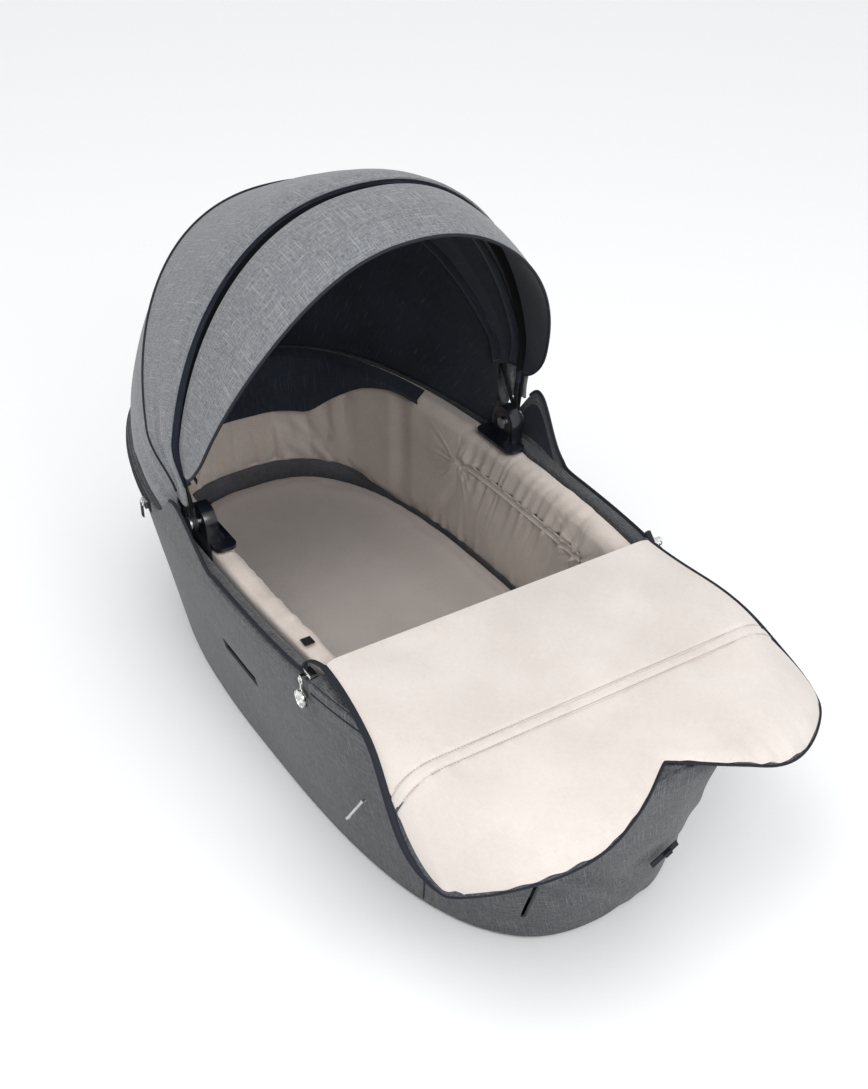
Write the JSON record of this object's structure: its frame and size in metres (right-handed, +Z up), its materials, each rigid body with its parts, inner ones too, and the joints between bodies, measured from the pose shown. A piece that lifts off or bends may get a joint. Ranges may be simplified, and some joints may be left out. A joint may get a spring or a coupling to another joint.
{
  "type": "baby stroller carrycot",
  "caption": "Soft-covered carrycot of a baby stroller with a folding hood, a visor and an apron whose chest flap folds over the foot end.",
  "frame": {"origin": "on the surface that the cot stands on, under the middle of its rim", "axes": "+X to the right of someone at the foot end, +Y towards the head end, +Z up"},
  "size_m": [0.4181, 0.8978, 0.5666],
  "materials": {
    "grey_melange_cloth": "woven melange",
    "hood_melange_cloth": "woven melange",
    "navy_lining": "smooth lining",
    "black_mesh": "open mesh",
    "beige_liner": "soft cotton",
    "pale_lining": "satin cotton",
    "grey_lining_cloth": "woven",
    "taupe_mesh": "fine mesh",
    "board": "pressed board",
    "black_plastic": "semi-gloss",
    "catch_plastic": "matt",
    "foot_rubber": "matt",
    "steel": "satin",
    "chromed_metal": "polished",
    "zip_tape": "woven tape"
  },
  "bodies": {
    "cot": {"base_tray": "black_plastic", "base_feet": "foot_rubber", "foot_screws": "steel", "mattress_board": "board", "mattress": "taupe_mesh", "grey_lining": "grey_lining_cloth", "padded_liner": "beige_liner", "liner_seam_strips": "beige_liner", "liner_grommet": "zip_tape", "outer_cover": "grey_melange_cloth", "rim_tube": "steel", "head_hoop": "steel", "foot_hoop": "steel", "side_plate_left": "steel", "side_plate_right": "steel", "adapter_socket_left": "black_plastic", "adapter_socket_right": "black_plastic", "catch_springs": "steel", "bracket_left": "black_plastic", "bracket_right": "black_plastic", "bracket_screws": "steel", "hinge_pins": "steel", "rim_zip_tape": "zip_tape", "hood_zip_tape": "zip_tape", "foot_apron": "grey_melange_cloth", "side_loops": "chromed_metal", "foot_vent_zip": "zip_tape", "rear_canopy": "hood_melange_cloth", "rear_lining": "navy_lining"},
    "rear_bow": {"rear_bow": "steel"},
    "main_bow": {"main_bow": "steel", "main_canopy": "hood_melange_cloth", "main_lining": "navy_lining", "visor_gusset": "black_mesh"},
    "visor": {"visor_bow": "steel", "visor_canopy": "hood_melange_cloth"},
    "apron_flap": {"apron_flap_lining": "pale_lining", "apron_flap_outer": "grey_melange_cloth"},
    "apron_slider_left": {"apron_zip_slider_left": "chromed_metal"},
    "apron_slider_right": {"apron_zip_slider_right": "chromed_metal"},
    "apron_pull_left": {"apron_zip_pull_left": "chromed_metal"},
    "apron_pull_right": {"apron_zip_pull_right": "chromed_metal"},
    "hood_slider": {"hood_zip_slider": "chromed_metal"},
    "hood_pull": {"hood_zip_pull": "chromed_metal"},
    "catch_left": {"catch_left": "catch_plastic"},
    "catch_right": {"catch_right": "catch_plastic"}
  },
  "joints": [
    {"name": "hood_fold", "type": "hinge", "parent": "cot", "child": "rear_bow", "pos_m": [0, 0.073, 0.259], "axis": [-1, 0, 0], "range_deg": [0, 42], "deforming": ["rear_canopy", "rear_lining"]},
    {"name": "main_bow_fold", "type": "hinge", "parent": "rear_bow", "child": "main_bow", "pos_m": [0, 0.073, 0.259], "axis": [-1, 0, 0], "range_deg": [0, 20], "deforming": ["main_canopy", "main_lining"]},
    {"name": "visor_tilt", "type": "hinge", "parent": "main_bow", "child": "visor", "pos_m": [0, 0.073, 0.259], "axis": [1, 0, 0], "range_deg": [0, 8], "deforming": ["visor_gusset"]},
    {"name": "apron_flap_fold", "type": "hinge", "parent": "cot", "child": "apron_flap", "pos_m": [0, -0.173, 0.24635], "axis": [-1, 0, 0], "range_deg": [0, 118]},
    {"name": "apron_slider_left_slide", "type": "slide", "parent": "cot", "child": "apron_slider_left", "axis": [-0.0551, 0.9985, 0], "range_m": [0, 0.1]},
    {"name": "apron_pull_left_swing", "type": "hinge", "parent": "apron_slider_left", "child": "apron_pull_left", "pos_m": [-0.2029, -0.1655, 0.234], "axis": [0, 1, 0], "range_deg": [0, 150]},
    {"name": "apron_slider_right_slide", "type": "slide", "parent": "cot", "child": "apron_slider_right", "axis": [0.0551, 0.9985, 0], "range_m": [0, 0.1]},
    {"name": "apron_pull_right_swing", "type": "hinge", "parent": "apron_slider_right", "child": "apron_pull_right", "pos_m": [0.2029, -0.1655, 0.234], "axis": [0, -1, 0], "range_deg": [0, 150]},
    {"name": "hood_slider_slide", "type": "slide", "parent": "cot", "child": "hood_slider", "axis": [0.1336, 0.991, 0], "range_m": [0, 0.03]},
    {"name": "hood_pull_swing", "type": "hinge", "parent": "hood_slider", "child": "hood_pull", "pos_m": [-0.20404, 0.182, 0.2267], "axis": [0, 1, 0], "range_deg": [0, 120]},
    {"name": "catch_left_slide", "type": "slide", "parent": "cot", "child": "catch_left", "axis": [0, 1, 0], "range_m": [0, 0.006], "stiffness_N_per_m": 500, "springref_m": -0.003, "deforming": ["catch_springs"]},
    {"name": "catch_right_slide", "type": "slide", "parent": "cot", "child": "catch_right", "axis": [0, 1, 0], "range_m": [0, 0.006], "stiffness_N_per_m": 500, "springref_m": -0.003, "deforming": ["catch_springs"]}
  ],
  "couplings": [
    {"joint": "main_bow_fold", "follows": "hood_fold", "ratio": 0.476}
  ]
}
